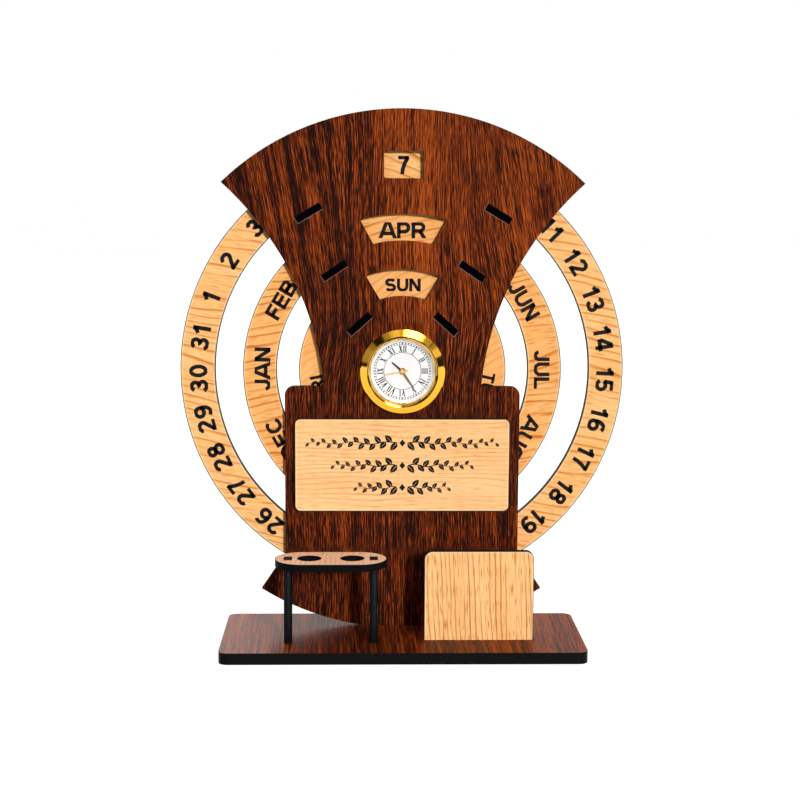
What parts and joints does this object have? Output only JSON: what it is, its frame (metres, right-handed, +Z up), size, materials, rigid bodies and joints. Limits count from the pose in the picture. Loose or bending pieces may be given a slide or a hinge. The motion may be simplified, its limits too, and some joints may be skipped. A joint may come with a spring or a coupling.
{
  "type": "desk clock with calendar",
  "caption": "Perpetual desk calendar with three turning rings behind a fan-shaped front, a push-in clock, a pen rack and a card lip on one base.",
  "frame": {"origin": "middle of the base's underside, on the surface that the clock stands on", "axes": "+Z up, -Y towards the person at the desk, +X to that person's right"},
  "size_m": [0.194, 0.0616, 0.2321],
  "materials": {
    "walnut": "satin laminate",
    "maple": "satin laminate",
    "black_edge": "satin",
    "gold_trim": "polished",
    "lens": "polished",
    "dial": "satin",
    "case_plastic": "moulded",
    "band_rubber": "moulded",
    "movement_plastic": "moulded",
    "gear_brass": "machined",
    "coil_copper": "enamelled wire",
    "cell_steel": "brushed"
  },
  "bodies": {
    "stand": {"base_plate": "walnut", "front_panel": "walnut", "back_panel": "walnut", "top_spacer": "black_edge", "foot_spacer": "black_edge", "date_guides": "black_edge", "month_guides": "black_edge", "weekday_guides": "black_edge", "name_plate": "maple", "rack_top": "maple", "rack_leg_left": "black_edge", "rack_leg_right": "black_edge", "lip_plate": "maple"},
    "date_wheel": {"date_ring": "maple"},
    "month_wheel": {"month_ring": "maple"},
    "weekday_wheel": {"weekday_ring": "maple"},
    "clock_insert": {"clock_bezel": "gold_trim", "clock_lens": "lens", "dial_ring": "gold_trim", "clock_dial": "dial", "clock_case": "case_plastic", "fit_band": "band_rubber", "rear_cover": "case_plastic", "movement_plate": "gear_brass", "movement_body": "movement_plastic", "drive_coil": "coil_copper", "battery": "cell_steel", "battery_clip": "cell_steel"},
    "hour_motion": {"hour_hand": "gold_trim", "hour_wheel": "gear_brass"},
    "minute_motion": {"minute_hand": "gold_trim", "cannon_pinion": "gear_brass"},
    "setting_motion": {"minute_wheel": "gear_brass", "setting_knob": "case_plastic"},
    "second_motion": {"second_hand": "gold_trim", "seconds_wheel": "gear_brass"}
  },
  "joints": [
    {"name": "date_turn", "type": "hinge", "parent": "stand", "child": "date_wheel", "pos_m": [0, 0.0164, 0.1189], "axis": [0, 1, 0], "continuous": true},
    {"name": "month_turn", "type": "hinge", "parent": "stand", "child": "month_wheel", "pos_m": [0, 0.0164, 0.1189], "axis": [0, 1, 0], "continuous": true},
    {"name": "weekday_turn", "type": "hinge", "parent": "stand", "child": "weekday_wheel", "pos_m": [0, 0.0164, 0.1189], "axis": [0, 1, 0], "continuous": true},
    {"name": "insert_slide", "type": "slide", "parent": "stand", "child": "clock_insert", "axis": [0, -1, 0], "range_m": [0, 0.014]},
    {"name": "setting_turn", "type": "hinge", "parent": "clock_insert", "child": "setting_motion", "pos_m": [0, 0.0146, 0.1141], "axis": [0, 1, 0], "continuous": true},
    {"name": "minute_turn", "type": "hinge", "parent": "clock_insert", "child": "minute_motion", "pos_m": [0, 0.0146, 0.1189], "axis": [0, 1, 0], "continuous": true},
    {"name": "hour_turn", "type": "hinge", "parent": "clock_insert", "child": "hour_motion", "pos_m": [0, 0.0146, 0.1189], "axis": [0, 1, 0], "continuous": true},
    {"name": "second_turn", "type": "hinge", "parent": "clock_insert", "child": "second_motion", "pos_m": [0, 0.0146, 0.1189], "axis": [0, 1, 0], "continuous": true}
  ],
  "couplings": [
    {"joint": "minute_turn", "follows": "setting_turn", "ratio": -3},
    {"joint": "hour_turn", "follows": "setting_turn", "ratio": -0.25}
  ]
}
